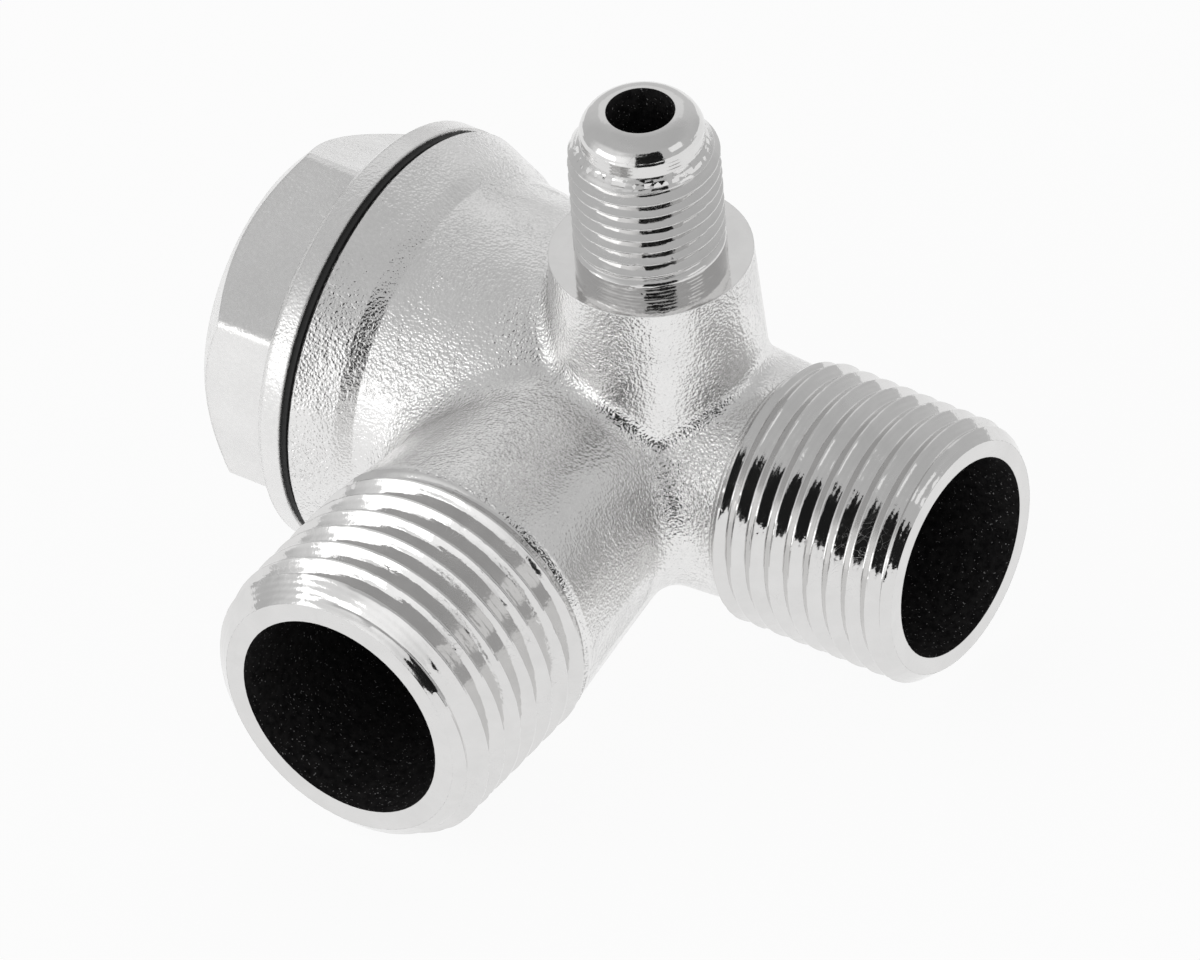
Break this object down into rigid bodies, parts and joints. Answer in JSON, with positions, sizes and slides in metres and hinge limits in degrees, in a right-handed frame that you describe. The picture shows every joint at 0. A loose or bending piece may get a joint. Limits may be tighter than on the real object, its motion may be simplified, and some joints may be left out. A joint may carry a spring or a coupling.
{
  "type": "air compressor non-return valve",
  "caption": "Nickel-plated right-angle check valve with male threaded ports, a hexagon cap and a sprung poppet that lets compressed air pass to the tank but not back",
  "frame": {"origin": "where the tank outlet's axis crosses the valve's own axis, which is a point on the axis of the inlet passage", "axes": "+X runs from the hexagon cap to the pump inlet, -Y out of the tank outlet and +Z out of the unloader nipple"},
  "size_m": [0.0524, 0.0478, 0.0425],
  "materials": {
    "nickel_casting": "nickel plated casting with bright machined threads and faces",
    "nickel_cap": "nickel plated, satin",
    "gasket_black": "matt black",
    "poppet_brass": "turned brass",
    "seat_rubber": "matt black",
    "spring_wire": "stainless spring wire"
  },
  "bodies": {
    "valve_body": {"body": "nickel_casting", "cap": "nickel_cap", "cap_gasket": "gasket_black", "spring": "spring_wire"},
    "poppet_body": {"poppet": "poppet_brass", "seat_disc": "seat_rubber"}
  },
  "joints": [
    {"name": "poppet_slide", "type": "slide", "parent": "valve_body", "child": "poppet_body", "axis": [-1, 0, 0], "range_m": [0, 0.0035], "stiffness_N_per_m": 250, "springref_m": -0.004, "deforming": ["spring"]}
  ]
}
